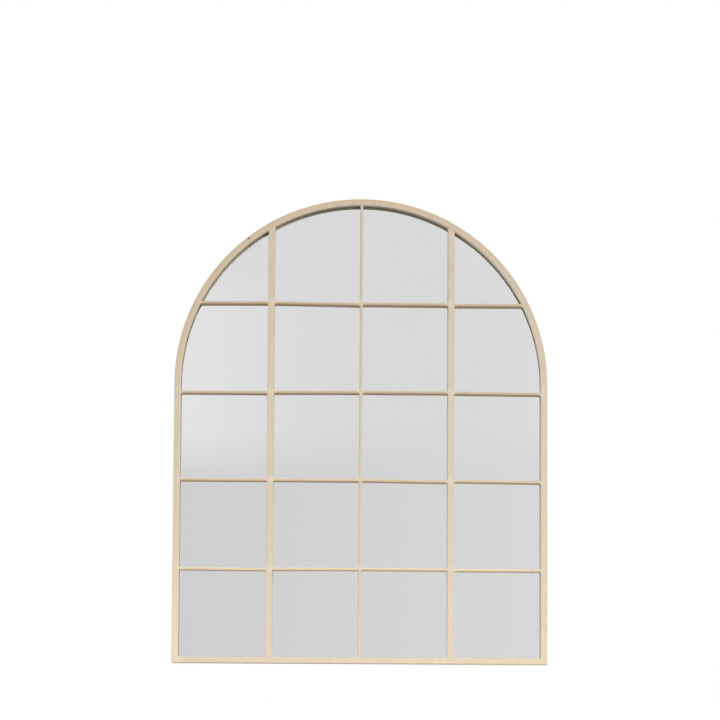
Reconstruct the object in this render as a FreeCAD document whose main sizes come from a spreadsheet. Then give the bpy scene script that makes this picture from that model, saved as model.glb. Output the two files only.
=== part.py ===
import FreeCAD, Part
import math
import os
import re
import Sketcher

# Arched window-pane mirror, in millimetres
# The front faces -Y, +Z is up and -X is left. The wall is the plane y = 0, and the origin lies on
# it midway between the two wall hooks. Sub-parts are drawn with z counted from the bottom edge.

SIZES = {
    "overall_width": 800,
    "overall_height": 1000,
    "rim_face": 14,
    "rim_depth": 35,
    "tube_wall": 1.2,
    "tube_corner": 1.5,
    "left_foot_corner": 2.5,
    "right_foot_corner": 3.5,
    "upright_face": 14,
    "upright_offset": 193.5,
    "grid_depth": 20,
    "bar_face": 6,
    "bar_edge": 2.5,
    "top_pane_height": 210.5,
    "hand_wander": 2,
    "glass_thickness": 3,
    "glass_gap": 0.5,
    "glass_headroom": 5,
    "tape_thickness": 1,
    "tape_width": 20,
    "tape_margin": 40,
    "setting_pad_length": 40,
    "board_thickness": 9,
    "board_gap": 0.5,
    "notch_play": 1,
    "clip_width": 16,
    "clip_thickness": 1.2,
    "clip_foot": 8,
    "clip_reach": 20,
    "clip_hole_inset": 13,
    "screw_shank_radius": 1.75,
    "screw_head_radius": 3.5,
    "screw_head_height": 2.2,
    "screw_head_rounding": 1.4,
    "screw_cross_width": 0.9,
    "screw_cross_length": 4,
    "screw_cross_depth": 1.2,
    "screw_bite": 7,
    "hole_play": 0.1,
    "hook_drop": 200,
    "hook_spread": 240,
    "ring_wire_radius": 1.5,
    "ring_width": 23,
    "ring_reach": 24,
    "ring_corner": 4,
    "eye_play": 0.1,
    "eye_lift": 0.3,
    "strap_width": 12,
    "strap_length": 42,
    "strap_thickness": 1.2,
    "near_hole_drop": 9,
    "far_hole_drop": 34,
    "bumper_radius": 5,
    "bumper_height": 4.5,
    "bumper_edge": 1,
    "overrun": 10,
}

# Height of each row bar's left and right end over its row, in shares of hand_wander
ROW_WANDER_SHARES = {
    1: ((-0.1, -0.8), (-0.2, 0.0), (0.2, 0.0), (-0.5, -0.5)),
    2: ((0.2, 0.0), (0.1, -0.1), (0.0, -1.0), (-0.2, -1.2)),
    3: ((-1.2, -1.3), (-0.8, -0.4), (-0.3, -0.4), (-0.6, -1.4)),
    4: ((0.4, 0.9), (0.9, -0.6), (0.0, -0.4), (-0.8, -0.7)),
}

# Sums of the sizes above that several sub-parts share
ROWS = len(ROW_WANDER_SHARES)
WORKED_OUT = {
    "outer_radius": "overall_width / 2",
    "inner_radius": "outer_radius - rim_face",
    "middle_radius": "outer_radius - rim_face / 2",
    "springing": "overall_height - outer_radius",
    "row_room": "overall_height - 2 * rim_face - top_pane_height",
    "pane_height": f"row_room / {ROWS} - bar_face",
    "front": "-(bumper_height + rim_depth)",
    "rim_rear": "-bumper_height",
    "glass_front": "front + grid_depth",
    "tape_front": "glass_front + glass_thickness",
    "board_front": "tape_front + tape_thickness",
    "board_rear": "board_front + board_thickness",
    "hook_height": "overall_height - hook_drop",
    "hole_radius": "screw_shank_radius + hole_play",
    "eye_radius": "ring_wire_radius + eye_play",
    "eye_height": "hook_height - ring_reach + ring_wire_radius",
    "eye_depth": "board_rear + eye_lift + eye_radius + strap_thickness",
    "clip_seat_radius": "sqrt(inner_radius ^ 2 - (clip_width / 2) ^ 2)",
    "right_through": "2 * (overall_height + overall_width)",
}

# Places along the legs and the arch, in shares of the springing height and in degrees, and along
# the rail, in shares of the rim's inner radius
LEG_CLIP_SHARES = (0.2, 0.8)
RAIL_CLIP_SHARES = (-0.5, 0.5)
ARCH_CLIP_ANGLES = (35, 90, 145)
LOW_BUMPER_SHARE = 0.05
ARCH_BUMPER_ANGLES = (50, 130)
SETTING_PAD_SHARES = (-0.7, 0.7)
TAPE_SHARES = (-0.75, -0.25, 0.25, 0.75)

doc = FreeCAD.newDocument("ArchedMirror")
sheet = doc.addObject("Spreadsheet::Sheet", "Sizes")
for line, (word, size) in enumerate(SIZES.items(), start=1):
    sheet.set(f"A{line}", word)
    sheet.set(f"B{line}", str(size))
    sheet.setAlias(f"B{line}", word)
doc.recompute()


def formula(text):
    """Turns a sum of named sizes into an expression on the sheet."""

    def swap(match):
        name = match.group()
        if name in WORKED_OUT:
            return f"({formula(WORKED_OUT[name])})"
        return f"Sizes.{name}" if name in SIZES else name

    return re.sub(r"[a-z_]+", swap, text)


def value(text):
    """Gives the number that a sum of named sizes comes to."""
    return float(sheet.evalExpression(formula(text)))


def point(across, up):
    """Gives a point of a sketch from two sums of named sizes."""
    return FreeCAD.Vector(value(across), value(up), 0)


def new_body(name):
    """Starts a body that is drawn from the bottom edge and lowered to the origin's height."""
    body = doc.addObject("PartDesign::Body", name)
    body.setExpression("Placement.Base.z", formula("-hook_height"))
    return body


def new_sketch(body, role, lift="0"):
    """Lays a sketch on one of the body's origin planes, lifted along that plane's normal."""
    sketch = body.newObject("Sketcher::SketchObject", f"{body.Name}_sketch")
    plane = next(item for item in body.Origin.OriginFeatures if item.Role == role)
    sketch.AttachmentSupport = [(plane, "")]
    sketch.MapMode = "FlatFace"
    sketch.setExpression("AttachmentOffset.Base.z", formula(lift))
    return sketch


def front_sketch(body, depth):
    """Lays a sketch parallel to the front at a depth, with x across and y up."""
    return new_sketch(body, "XZ_Plane", f"-({depth})")


def measure(sketch, kind, text, *ends):
    """Adds a measure to a sketch and binds it to a sum of named sizes."""
    index = sketch.addConstraint(Sketcher.Constraint(kind, *ends, value(text)))
    sketch.renameConstraint(index, f"measure_{index}")
    sketch.setExpression(f"Constraints.measure_{index}", formula(text))


def hold(sketch, edge, end, across, up):
    """Holds an edge's end, or its centre, at a point that two sums of named sizes give."""
    for kind, axis, text in (("DistanceX", -2, across), ("DistanceY", -1, up)):
        if text == "0":
            sketch.addConstraint(Sketcher.Constraint("PointOnObject", edge, end, axis))
        elif text:
            measure(sketch, kind, text, -1, 1, edge, end)


def draw_outline(sketch, corners, arcs=None):
    """Draws a closed outline through the corners. The edges that arcs names run anticlockwise
    to the next corner, about the centre that it gives."""
    arcs = arcs or {}
    first = sketch.GeometryCount
    points = [point(*corner) for corner in corners]
    for index, start in enumerate(points):
        end = points[(index + 1) % len(points)]
        if index in arcs:
            centre = point(*arcs[index])
            circle = Part.Circle(centre, FreeCAD.Vector(0, 0, 1), (start - centre).Length)
            turns = [math.atan2(spot.y - centre.y, spot.x - centre.x) for spot in (start, end)]
            sketch.addGeometry(Part.ArcOfCircle(circle, *turns), False)
        else:
            sketch.addGeometry(Part.LineSegment(start, end), False)
    for index, corner in enumerate(corners):
        edge = first + index
        following = first + (index + 1) % len(corners)
        sketch.addConstraint(Sketcher.Constraint("Coincident", edge, 2, following, 1))
        hold(sketch, edge, 1, *corner)
        if index in arcs:
            hold(sketch, edge, 3, "", arcs[index][1])


def draw_circle(sketch, across, up, radius):
    """Draws a circle about a point."""
    circle = Part.Circle(point(across, up), FreeCAD.Vector(0, 0, 1), value(radius))
    edge = sketch.addGeometry(circle, False)
    hold(sketch, edge, 3, across, up)
    measure(sketch, "Radius", radius, edge)


def rectangle(left, low, right, high):
    """Gives the corners of a rectangle."""
    return [(left, low), (right, low), (right, high), (left, high)]


def pad(sketch, length, side="One side", reverse=False):
    """Thickens a sketch by a length. Reversed, a front sketch grows towards the wall."""
    feature = sketch.getParentGeoFeatureGroup().newObject("PartDesign::Pad", f"{sketch.Name}_pad")
    feature.Profile = sketch
    feature.SideType = side
    feature.Reversed = reverse
    feature.setExpression("Length", formula(length))
    doc.recompute()
    return feature


def cut(sketch, length="", reverse=False):
    """Cuts a sketch into its body to a length, or right through, and tests that it removed some."""
    body = sketch.getParentGeoFeatureGroup()
    before = body.Shape.Volume
    feature = body.newObject("PartDesign::Pocket", f"{sketch.Name}_cut")
    feature.Profile = sketch
    feature.SideType = "One side" if length else "Symmetric"
    feature.Reversed = reverse
    feature.setExpression("Length", formula(length or "right_through"))
    doc.recompute()
    if not body.Shape.Volume < before:
        raise ValueError(f"{feature.Name} cut nothing")


def round_edges(body, radius, chosen):
    """Rounds the edges of a body that a test picks."""
    base = body.Tip
    names = [f"Edge{index}" for index, edge in enumerate(base.Shape.Edges, 1) if chosen(edge)]
    feature = body.newObject("PartDesign::Fillet", f"{base.Name}_rounding")
    feature.Base = (base, names)
    feature.setExpression("Radius", formula(radius))
    doc.recompute()


def is_long(edge):
    """Tells the edges that run along a tube or bar from those round its ends."""
    return edge.Length > value("rim_depth + overrun")


def is_long_in_front(edge):
    """Tells a bar's long edges in the front face."""
    return is_long(edge) and edge.BoundBox.YMax < value("front + bar_edge")


def cope(body):
    """Cuts off what reaches past the rim's inner half circle, so the end fits the arch."""
    far = "(outer_radius + overrun)"
    top = "(overall_height + overrun)"
    sketch = front_sketch(body, "0")
    corners = [("inner_radius", "springing"), ("-inner_radius", "springing"),
               (f"-{far}", "springing"), (f"-{far}", top), (far, top), (far, "springing")]
    draw_outline(sketch, corners, {0: ("0", "springing")})
    cut(sketch)


# Rim

def box_tube(name, role, section, length, lift="0", side="One side"):
    """Makes a straight box tube from its section, which is called with how far to draw it in."""
    body = new_body(name)
    outside = new_sketch(body, role, lift)
    draw_outline(outside, section("0"))
    pad(outside, length, side)
    round_edges(body, "tube_corner", is_long)
    inside = new_sketch(body, role, lift)
    draw_outline(inside, section("tube_wall"))
    cut(inside)
    return body


def tube_section(low, high, rear):
    """Gives a tube's section, seen from above, between two sides and from the front to a rear."""
    def section(inset):
        return rectangle(f"{low} + {inset}", f"front + {inset}",
                         f"{high} - {inset}", f"{rear} - {inset}")
    return section


def cut_mitre(body, side, keep_leg):
    """Cuts a leg's foot or the rail's end at 45 degrees, and rounds the corner that they make."""
    sketch = front_sketch(body, "0")
    upper = (f"{side}(inner_radius - overrun)", "rim_face + overrun")
    lower = (f"{side}(outer_radius + overrun)", "-overrun")
    beyond = (upper[0], lower[1]) if keep_leg else (lower[0], upper[1])
    draw_outline(sketch, [upper, beyond, lower])
    cut(sketch)
    rounding = front_sketch(body, "0")
    radius = "left_foot_corner" if side else "right_foot_corner"
    foot = (f"{side}(outer_radius - {radius})", "0")
    flank = (f"{side}outer_radius", radius)
    ends = [flank, foot] if side else [foot, flank]
    under = (foot[0], "-overrun")
    outside = (f"{side}(outer_radius + overrun)", radius)
    corner = (outside[0], "-overrun")
    rest = [under, corner, outside] if side else [outside, corner, under]
    draw_outline(rounding, ends + rest, {0: (foot[0], radius)})
    cut(rounding)


def make_leg(name, side):
    """Makes one straight side of the rim, from the mitre up to the springing line."""
    edges = (f"{side}outer_radius", f"{side}inner_radius")
    low, high = edges if side else edges[::-1]
    body = box_tube(name, "XY_Plane", tube_section(low, high, "rim_rear"), "springing")
    cut_mitre(body, side, keep_leg=True)
    return body


def make_bottom_rail():
    """Makes the rim's lower side, mitred at both ends."""
    def section(inset):
        return rectangle(f"front + {inset}", f"{inset}", f"rim_rear - {inset}",
                         f"rim_face - {inset}")
    body = box_tube("bottom_rail", "YZ_Plane", section, "overall_width", side="Symmetric")
    for side in ("-", ""):
        cut_mitre(body, side, keep_leg=False)
    return body


def turn_half(sketch, kind):
    """Turns a section, or a hollow, half round about the depth axis at the sketch's origin."""
    body = sketch.getParentGeoFeatureGroup()
    feature = body.newObject(f"PartDesign::{kind}", f"{body.Name}_{kind}")
    feature.Profile = sketch
    feature.ReferenceAxis = (sketch, ["V_Axis"])
    feature.Angle = 180
    feature.Reversed = True
    doc.recompute()


def make_arch():
    """Makes the rim's top: the tube's section turned half round about the springing line."""
    body = new_body("arch_tube")
    section = tube_section("inner_radius", "outer_radius", "rim_rear")
    outside = new_sketch(body, "XY_Plane", "springing")
    draw_outline(outside, section("0"))
    turn_half(outside, "Revolution")
    round_edges(body, "tube_corner", is_long)
    solid = body.Shape.Volume
    inside = new_sketch(body, "XY_Plane", "springing")
    draw_outline(inside, section("tube_wall"))
    turn_half(inside, "Groove")
    if not body.Shape.Volume < solid:
        raise ValueError("the arch is still solid")
    return body


# Grid

def make_upright(name, side):
    """Makes one wide bar of box tube, from the rail to the arch."""
    middle = f"{side}upright_offset"
    section = tube_section(f"{middle} - upright_face / 2", f"{middle} + upright_face / 2",
                           "glass_front")
    body = box_tube(name, "XY_Plane", section, "overall_height - rim_face", "rim_face")
    cope(body)
    return body


def flat_bar(name, corners):
    """Makes a flat bar on edge from its outline in the front face, with round front edges."""
    body = new_body(name)
    sketch = front_sketch(body, "front")
    draw_outline(sketch, corners)
    pad(sketch, "grid_depth", reverse=True)
    round_edges(body, "bar_edge", is_long_in_front)
    return body


def make_centre_bar():
    """Makes the thin bar in the middle, from the rail to the crown of the arch."""
    corners = rectangle("-bar_face / 2", "rim_face", "bar_face / 2", "overall_height - rim_face / 2")
    body = flat_bar("centre_bar", corners)
    cope(body)
    return body


def make_row_bar(row, number):
    """Makes one thin bar of a row, between two upright faces, as level as it was welded."""
    stops = ["-inner_radius", "-(upright_offset + upright_face / 2)",
             "-(upright_offset - upright_face / 2)", "-bar_face / 2", "bar_face / 2",
             "upright_offset - upright_face / 2", "upright_offset + upright_face / 2",
             "inner_radius"]
    left, right = stops[2 * number - 2:2 * number]
    under = f"rim_face + {row} * pane_height + {row - 1} * bar_face"
    left_share, right_share = ROW_WANDER_SHARES[row][number - 1]
    left_low = f"{under} + {left_share} * hand_wander"
    right_low = f"{under} + {right_share} * hand_wander"
    corners = [(left, left_low), (right, right_low),
               (right, f"{right_low} + bar_face"), (left, f"{left_low} + bar_face")]
    body = flat_bar(f"row_{row}_bar_{number}", corners)
    outer_top = value(f"{left_low if number == 1 else right_low} + bar_face")
    if number in (1, 4) and outer_top > value("springing"):
        cope(body)
    return body


# Glass, tape, setting pads and backing board

def arched_sheet(name, gap, depth, thickness, headroom="0"):
    """Makes a flat sheet that stays a gap inside the rim all round, with more room at the crown
    where a headroom lowers its arch."""
    body = new_body(name)
    sketch = front_sketch(body, depth)
    side = f"(inner_radius - {gap})"
    top = f"springing - {headroom}"
    corners = rectangle(f"-{side}", f"rim_face + {gap}", side, top)
    draw_outline(sketch, corners, {2: ("0", top)})
    pad(sketch, thickness, reverse=True)
    return body


def box_group(name, boxes):
    """Makes a group of plain strips, each from its lowest corner and its three lengths."""
    strips = []
    for corner, lengths in boxes:
        strip = doc.addObject("Part::Box", f"{name}_strip")
        for axis, side, start, length in zip("xyz", ("Length", "Width", "Height"), corner, lengths):
            strip.setExpression(f"Placement.Base.{axis}", formula(start))
            strip.setExpression(side, formula(length))
        strips.append(strip)
    group = doc.addObject("Part::Compound", name)
    group.Links = strips
    return group


def make_tape():
    """Makes the strips of foam tape that hold the glass to the board."""
    low = "rim_face + tape_margin"
    boxes = [((f"{share} * inner_radius - tape_width / 2", "tape_front", f"{low} - hook_height"),
              ("tape_width", "tape_thickness", f"springing - ({low})")) for share in TAPE_SHARES]
    return box_group("mounting_tape", boxes)


def make_setting_pads():
    """Makes the rubber strips on the rail that the glass stands on."""
    boxes = [((f"{share} * inner_radius - setting_pad_length / 2", "glass_front",
               "rim_face - hook_height"),
              ("setting_pad_length", "glass_thickness", "glass_gap"))
             for share in SETTING_PAD_SHARES]
    return box_group("setting_pads", boxes)


# Places of the clips and bumpers round the rim, as across, up and turn about the depth axis

def on_arch(angle, radius):
    """Gives a place on the arch, turned so that its own x axis points to the arch's centre."""
    cosine = math.cos(math.radians(angle))
    sine = math.sin(math.radians(angle))
    return f"{cosine} * {radius}", f"springing + {sine} * {radius}", 180 - angle


def clip_places():
    """Gives where each clip is welded to the rim's inner face. On the arch its flat foot stands
    on its two side edges."""
    places = [(f"{side}inner_radius", f"{share} * springing", 0 if side else 180)
              for side in ("-", "") for share in LEG_CLIP_SHARES]
    places += [(f"{share} * inner_radius", "rim_face", -90) for share in RAIL_CLIP_SHARES]
    return places + [on_arch(angle, "clip_seat_radius") for angle in ARCH_CLIP_ANGLES]


def clip_screw_places():
    """Gives the middle of each clip's hole."""
    places = []
    for across, up, turn in clip_places():
        cosine = math.cos(math.radians(turn))
        sine = math.sin(math.radians(turn))
        places.append((f"{across} + {cosine} * clip_hole_inset",
                       f"{up} - {sine} * clip_hole_inset", turn))
    return places


def clip_notches():
    """Gives the outline of the notch in the board's edge that each clip's foot lies in."""
    half = "(clip_width / 2 + notch_play)"
    notches = []
    for across, up, turn in clip_places():
        cosine = math.cos(math.radians(turn))
        sine = math.sin(math.radians(turn))
        notches.append([(f"{across} + {cosine} * {inward} + {sine} * {aside}",
                         f"{up} - {sine} * {inward} + {cosine} * {aside}")
                        for inward, aside in rectangle("(-overrun)", f"(-{half})",
                                                       "(clip_thickness + board_gap)", half)])
    return notches


def hanger_screw_places():
    """Gives the middle of each hole in the hanger straps."""
    return [(f"{side}hook_spread", f"eye_height - {drop}", 0)
            for side in ("-", "") for drop in ("near_hole_drop", "far_hole_drop")]


def bumper_places():
    """Gives where the four bumpers sit on the back of the rim."""
    places = [(f"{side}middle_radius", f"{LOW_BUMPER_SHARE} * overall_height", 0)
              for side in ("-", "")]
    return places + [on_arch(angle, "middle_radius") for angle in ARCH_BUMPER_ANGLES]


def copies(name, pattern, places, depth):
    """Makes a group of like solids: one copy of a pattern at each place."""
    links = []
    for across, up, turn in places:
        link = doc.addObject("App::Link", f"{name}_copy")
        link.LinkedObject = pattern
        link.Placement = FreeCAD.Placement(FreeCAD.Vector(), FreeCAD.Rotation(0, turn, 0))
        link.setExpression("Placement.Base.x", formula(across))
        link.setExpression("Placement.Base.y", formula(depth))
        link.setExpression("Placement.Base.z", formula(f"{up} - hook_height"))
        links.append(link)
    group = doc.addObject("Part::Compound", name)
    group.Links = links
    return group


def make_backing_board():
    """Makes the board behind the glass, with a notch in its edge for each clip's foot and a blind
    pilot hole for each screw."""
    body = arched_sheet("backing_board", "board_gap", "board_front", "board_thickness")
    edge = front_sketch(body, "0")
    for notch in clip_notches():
        draw_outline(edge, notch)
    cut(edge)
    sketch = front_sketch(body, "board_rear")
    for across, up, _ in clip_screw_places() + hanger_screw_places():
        draw_circle(sketch, across, up, "hole_radius")
    cut(sketch, "screw_bite + hole_play", reverse=True)
    return body


# Clips, screws and bumpers, each drawn once where its own x axis points into the mirror

def pattern_body(name):
    """Starts a body that is only copied, so it stays at the origin."""
    return doc.addObject("PartDesign::Body", name)


def make_clip_pattern():
    """Makes the bent clip: a foot on the rim's inner face and a tongue over the board."""
    body = pattern_body("clip_pattern")
    profile = new_sketch(body, "XY_Plane")
    corners = [("0", "-clip_foot"), ("clip_thickness", "-clip_foot"), ("clip_thickness", "0"),
               ("clip_reach", "0"), ("clip_reach", "clip_thickness"), ("0", "clip_thickness")]
    draw_outline(profile, corners)
    pad(profile, "clip_width", side="Symmetric")
    hole = front_sketch(body, "0")
    draw_circle(hole, "clip_hole_inset", "0", "hole_radius")
    cut(hole)
    round_edges(body, "clip_thickness", is_clip_bend)
    return body


def is_clip_bend(edge):
    """Tells the outer edge of the clip's bend."""
    box = edge.BoundBox
    across = box.XMax < value("clip_thickness / 2")
    return across and box.YMin > value("clip_thickness / 2") and box.ZLength > value("clip_thickness")


def make_screw_pattern():
    """Makes a pan-head screw, turned about its own depth axis, with a cross recess."""
    body = pattern_body("screw_pattern")
    profile = new_sketch(body, "XY_Plane")
    tip = "-(screw_bite + clip_thickness)"
    shoulder = "screw_head_height - screw_head_rounding"
    corners = [("0", tip), ("screw_shank_radius", tip), ("screw_shank_radius", "0"),
               ("screw_head_radius", "0"), ("screw_head_radius", shoulder),
               ("screw_head_radius - screw_head_rounding", "screw_head_height"),
               ("0", "screw_head_height")]
    crown = ("screw_head_radius - screw_head_rounding", shoulder)
    draw_outline(profile, corners, {4: crown})
    feature = body.newObject("PartDesign::Revolution", "screw_turned")
    feature.Profile = profile
    feature.ReferenceAxis = (profile, ["V_Axis"])
    feature.Angle = 360
    doc.recompute()
    recess = front_sketch(body, "screw_head_height")
    reach = "screw_cross_length / 2"
    half = "screw_cross_width / 2"
    cross = [(reach, half), (half, half), (half, reach), (f"-{half}", reach), (f"-{half}", half),
             (f"-{reach}", half), (f"-{reach}", f"-{half}"), (f"-{half}", f"-{half}"),
             (f"-{half}", f"-{reach}"), (half, f"-{reach}"), (half, f"-{half}"),
             (reach, f"-{half}")]
    draw_outline(recess, cross)
    cut(recess, "screw_cross_depth", reverse=True)
    return body


def make_bumper_pattern():
    """Makes a round rubber bumper with an eased rear edge."""
    body = pattern_body("bumper_pattern")
    sketch = front_sketch(body, "0")
    draw_circle(sketch, "0", "0", "bumper_radius")
    pad(sketch, "bumper_height", reverse=True)
    round_edges(body, "bumper_edge", lambda edge: edge.BoundBox.YMin > value("bumper_height / 2"))
    return body


# Hangers

def make_strap(name, side):
    """Makes a hanger strap: a plate with a round foot and two holes, and a rolled eye on top."""
    body = new_body(name)
    middle = f"{side}hook_spread"
    low = "(eye_height - strap_length + strap_width / 2)"
    plate = front_sketch(body, "board_rear")
    corners = [(f"{middle} - strap_width / 2", "eye_height"),
               (f"{middle} - strap_width / 2", low),
               (f"{middle} + strap_width / 2", low),
               (f"{middle} + strap_width / 2", "eye_height")]
    draw_outline(plate, corners, {1: (middle, low)})
    for drop in ("near_hole_drop", "far_hole_drop"):
        draw_circle(plate, middle, f"eye_height - {drop}", "hole_radius")
    pad(plate, "strap_thickness", reverse=True)
    eye = new_sketch(body, "YZ_Plane", middle)
    draw_circle(eye, "eye_depth", "eye_height", "eye_radius + strap_thickness")
    draw_circle(eye, "eye_depth", "eye_height", "eye_radius")
    pad(eye, "strap_width", side="Symmetric")
    return body


def make_ring(name, side):
    """Makes a D-ring of round wire that hangs from its straight bar."""
    body = new_body(name)
    middle = f"{side}hook_spread"
    half = "ring_width / 2"
    shoulder = "(ring_width / 2 - ring_corner)"
    below = "eye_height - ring_corner"
    bow = "eye_height - ring_reach + ring_width / 2"
    spine = front_sketch(body, "eye_depth")
    corners = [(middle, "eye_height"), (f"{middle} - {shoulder}", "eye_height"),
               (f"{middle} - {half}", below), (f"{middle} - {half}", bow),
               (f"{middle} + {half}", bow), (f"{middle} + {half}", below),
               (f"{middle} + {shoulder}", "eye_height")]
    arcs = {1: (f"{middle} - {shoulder}", below), 3: (middle, bow),
            5: (f"{middle} + {shoulder}", below)}
    draw_outline(spine, corners, arcs)
    section = new_sketch(body, "YZ_Plane", middle)
    draw_circle(section, "eye_depth", "eye_height", "ring_wire_radius")
    doc.recompute()
    wire = body.newObject("PartDesign::AdditivePipe", f"{name}_wire")
    wire.Profile = section
    wire.Spine = (spine, [f"Edge{index}" for index in range(1, len(corners) + 1)])
    doc.recompute()
    return body


# The whole mirror

def make_nodes():
    """Makes every sub-part, in the order that the mirror is put together."""
    clip = make_clip_pattern()
    screw = make_screw_pattern()
    bumper = make_bumper_pattern()
    nodes = [make_arch(), make_leg("left_leg", "-"), make_leg("right_leg", ""), make_bottom_rail()]
    nodes += [make_upright("left_upright", "-"), make_upright("right_upright", "")]
    nodes += [make_centre_bar()]
    nodes += [make_row_bar(row, number) for row in ROW_WANDER_SHARES for number in (1, 2, 3, 4)]
    nodes += [make_setting_pads(), arched_sheet("mirror_glass", "glass_gap", "glass_front",
                                                "glass_thickness", "glass_headroom")]
    nodes += [make_tape(), make_backing_board()]
    nodes += [copies("retaining_clips", clip, clip_places(), "board_rear")]
    nodes += [copies("clip_screws", screw, clip_screw_places(), "board_rear + clip_thickness")]
    nodes += [make_strap("left_hanger_strap", "-"), make_strap("right_hanger_strap", "")]
    nodes += [make_ring("left_d_ring", "-"), make_ring("right_d_ring", "")]
    nodes += [copies("hanger_screws", screw, hanger_screw_places(),
                     "board_rear + strap_thickness")]
    nodes += [copies("wall_bumpers", bumper, bumper_places(), "rim_rear")]
    return nodes


def test_document(nodes):
    """Stops if any object failed or any sub-part's shape is missing or broken."""
    for item in doc.Objects:
        if {"Invalid", "Error"} & set(item.State):
            raise ValueError(f"{item.Name} is {item.State}")
    for node in nodes:
        if node.Shape.isNull() or not node.Shape.isValid() or not node.Shape.Solids:
            raise ValueError(f"{node.Name} has no sound shape")


def write_nodes(nodes):
    """Writes each sub-part to its own file and prints what it holds."""
    os.makedirs("parts", exist_ok=True)
    for node in nodes:
        node.Label = node.Name
        node.Shape.exportStep(f"parts/{node.Label}.step")
        print(f"{node.Label}: {len(node.Shape.Solids)} solids, {node.Shape.Volume:.1f} mm3")


mirror = make_nodes()
doc.recompute()
test_document(mirror)
write_nodes(mirror)
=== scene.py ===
import math
import bmesh
import bpy
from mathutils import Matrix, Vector


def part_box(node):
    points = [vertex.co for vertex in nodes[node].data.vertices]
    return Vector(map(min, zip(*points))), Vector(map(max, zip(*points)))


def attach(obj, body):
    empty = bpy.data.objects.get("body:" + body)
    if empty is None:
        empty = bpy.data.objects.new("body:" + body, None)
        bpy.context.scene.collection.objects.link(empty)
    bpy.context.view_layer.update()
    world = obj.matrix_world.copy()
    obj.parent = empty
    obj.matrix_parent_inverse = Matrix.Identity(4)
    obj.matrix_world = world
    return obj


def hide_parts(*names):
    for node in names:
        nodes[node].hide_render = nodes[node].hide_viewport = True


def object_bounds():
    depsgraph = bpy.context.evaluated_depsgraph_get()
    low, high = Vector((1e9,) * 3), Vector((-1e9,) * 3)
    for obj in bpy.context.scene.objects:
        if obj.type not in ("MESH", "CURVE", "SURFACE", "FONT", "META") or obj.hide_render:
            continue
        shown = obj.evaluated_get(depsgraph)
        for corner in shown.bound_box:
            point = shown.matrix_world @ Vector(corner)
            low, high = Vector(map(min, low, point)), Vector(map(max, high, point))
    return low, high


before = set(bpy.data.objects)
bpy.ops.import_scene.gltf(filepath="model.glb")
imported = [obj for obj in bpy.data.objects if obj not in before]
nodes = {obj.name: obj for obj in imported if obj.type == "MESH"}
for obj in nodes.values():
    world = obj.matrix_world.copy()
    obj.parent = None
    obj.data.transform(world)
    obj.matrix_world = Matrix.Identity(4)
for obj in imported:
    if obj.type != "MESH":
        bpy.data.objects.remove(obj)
cad_low, cad_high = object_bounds()
MM = 0.001


# Arch tube
# The top of the rim is a steel box tube rolled to a half circle and butted on the two legs. Its
# skin is a rounded section spun about the springing point, with one nick in its outer edge.

RIM_LOW, RIM_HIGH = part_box("arch_tube")
OUTER = RIM_HIGH.x
RIM_FACE = 14 * MM
INNER = OUTER - RIM_FACE
TUBE_CORNER = 1.5 * MM
CORNER_STEPS = 5
SPRINGING = RIM_LOW.z
ARCH_STEPS = 540
MERGE_REACH = 0.01 * MM
NICK_TURN = math.radians(128.0)
NICK = Vector((OUTER * math.cos(NICK_TURN), RIM_LOW.y, SPRINGING + OUTER * math.sin(NICK_TURN)))
NICK_INWARD = (Vector((0, NICK.y, SPRINGING)) - NICK).normalized()
NICK_FINE_REACH = 7 * MM
NICK_FINE_CUTS = 4
NICK_REACH = 2.6 * MM
NICK_DEPTH = 0.9 * MM
NICK_BACKWARD = 0.3 * MM


def deselect_all():
    """Deselects every object."""
    for item in list(bpy.context.selected_objects):
        item.select_set(False)


def start_editing(piece, mode="VERT"):
    """Opens one piece in edit mode with nothing in it selected."""
    deselect_all()
    piece.select_set(True)
    bpy.context.view_layer.objects.active = piece
    bpy.ops.object.mode_set(mode="EDIT")
    bpy.ops.mesh.select_mode(type=mode)
    bpy.ops.mesh.select_all(action="DESELECT")


def pick(piece, kind, chosen):
    """Selects the vertices, edges or faces of the edited piece whose middle a test picks."""
    shape = bmesh.from_edit_mesh(piece.data)
    for part in getattr(shape, kind):
        corners = [part] if kind == "verts" else part.verts
        middle = sum((corner.co for corner in corners), Vector()) / len(corners)
        if chosen(middle):
            part.select_set(True)
    shape.select_flush(True)
    bmesh.update_edit_mesh(piece.data)


def apply_place(piece):
    """Moves the object's place, turn and size into its mesh."""
    deselect_all()
    piece.select_set(True)
    bpy.context.view_layer.objects.active = piece
    bpy.ops.object.transform_apply(location=True, rotation=True, scale=True)


def finish_editing(piece, smooth_angle=35):
    """Closes edit mode, applies the object's place and smooths its shading."""
    bpy.ops.object.mode_set(mode="OBJECT")
    apply_place(piece)
    bpy.ops.object.shade_smooth_by_angle(angle=math.radians(smooth_angle))


def name_piece(piece, name, material, stands_for=()):
    """Names a new piece, gives it its finish and fixes it to the frame."""
    piece.name = name
    piece.data.name = name
    piece.data.materials.clear()
    piece.data.materials.append(material)
    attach(piece, "root")
    if stands_for:
        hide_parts(*stands_for)


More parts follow.
